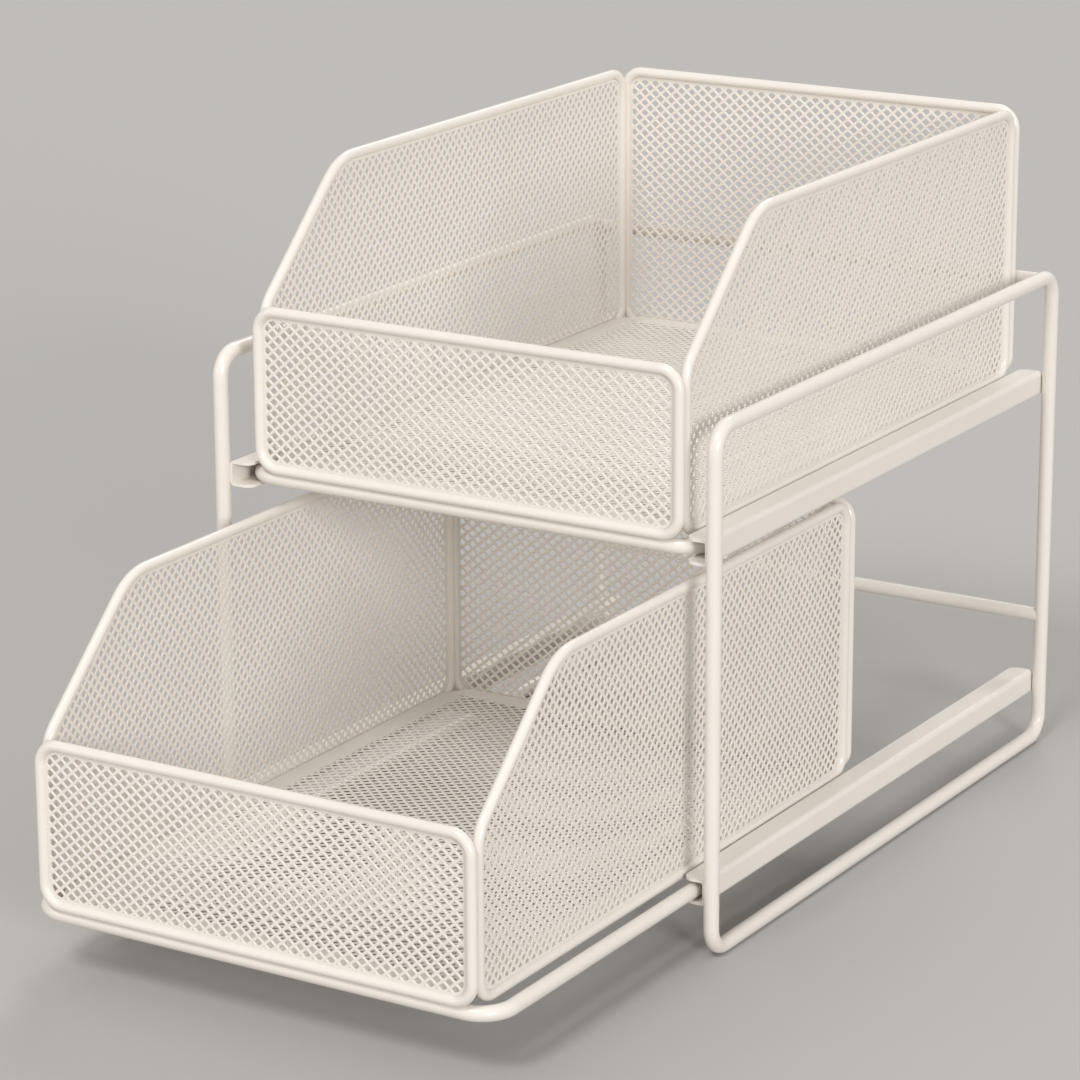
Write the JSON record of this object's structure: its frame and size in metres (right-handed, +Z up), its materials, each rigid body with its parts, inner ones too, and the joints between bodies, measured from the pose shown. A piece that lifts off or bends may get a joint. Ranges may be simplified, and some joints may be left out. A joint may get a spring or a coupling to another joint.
{
  "type": "pull out cabinet basket",
  "caption": "Two-tier rack of coated round wire whose mesh baskets, each with a low front and cut-back sides, slide forward on channel rails.",
  "frame": {"origin": "centre of the rack's footprint, on the floor", "axes": "+X to the right as seen from the front, +Y to the back, +Z up; both baskets slide forward along -Y. The upper basket is shut and the lower one is pulled out 143 mm"},
  "size_m": [0.226, 0.4357, 0.2769],
  "materials": {
    "wire": "smooth satin powder coat",
    "rail_sheet": "smooth satin powder coat",
    "mesh": "powder-coated expanded metal"
  },
  "bodies": {
    "rack": {"side_frame_left": "wire", "side_frame_right": "wire", "rear_crossbar_lower": "wire", "rear_crossbar_upper": "wire", "rail_lower_left": "rail_sheet", "rail_lower_right": "rail_sheet", "rail_upper_left": "rail_sheet", "rail_upper_right": "rail_sheet"},
    "upper_basket": {"upper_slide_frame": "wire", "upper_front_rim": "wire", "upper_back_rim": "wire", "upper_left_rim": "wire", "upper_right_rim": "wire", "upper_bottom_border": "wire", "upper_front_mesh": "mesh", "upper_back_mesh": "mesh", "upper_left_mesh": "mesh", "upper_right_mesh": "mesh", "upper_bottom_mesh": "mesh"},
    "lower_basket": {"lower_slide_frame": "wire", "lower_front_rim": "wire", "lower_back_rim": "wire", "lower_left_rim": "wire", "lower_right_rim": "wire", "lower_bottom_border": "wire", "lower_front_mesh": "mesh", "lower_back_mesh": "mesh", "lower_left_mesh": "mesh", "lower_right_mesh": "mesh", "lower_bottom_mesh": "mesh"}
  },
  "joints": [
    {"name": "upper_basket_slide", "type": "slide", "parent": "rack", "child": "upper_basket", "axis": [0, -1, 0], "range_m": [0, 0.18]},
    {"name": "lower_basket_slide", "type": "slide", "parent": "rack", "child": "lower_basket", "axis": [0, -1, 0], "range_m": [-0.1433, 0.0367]}
  ]
}
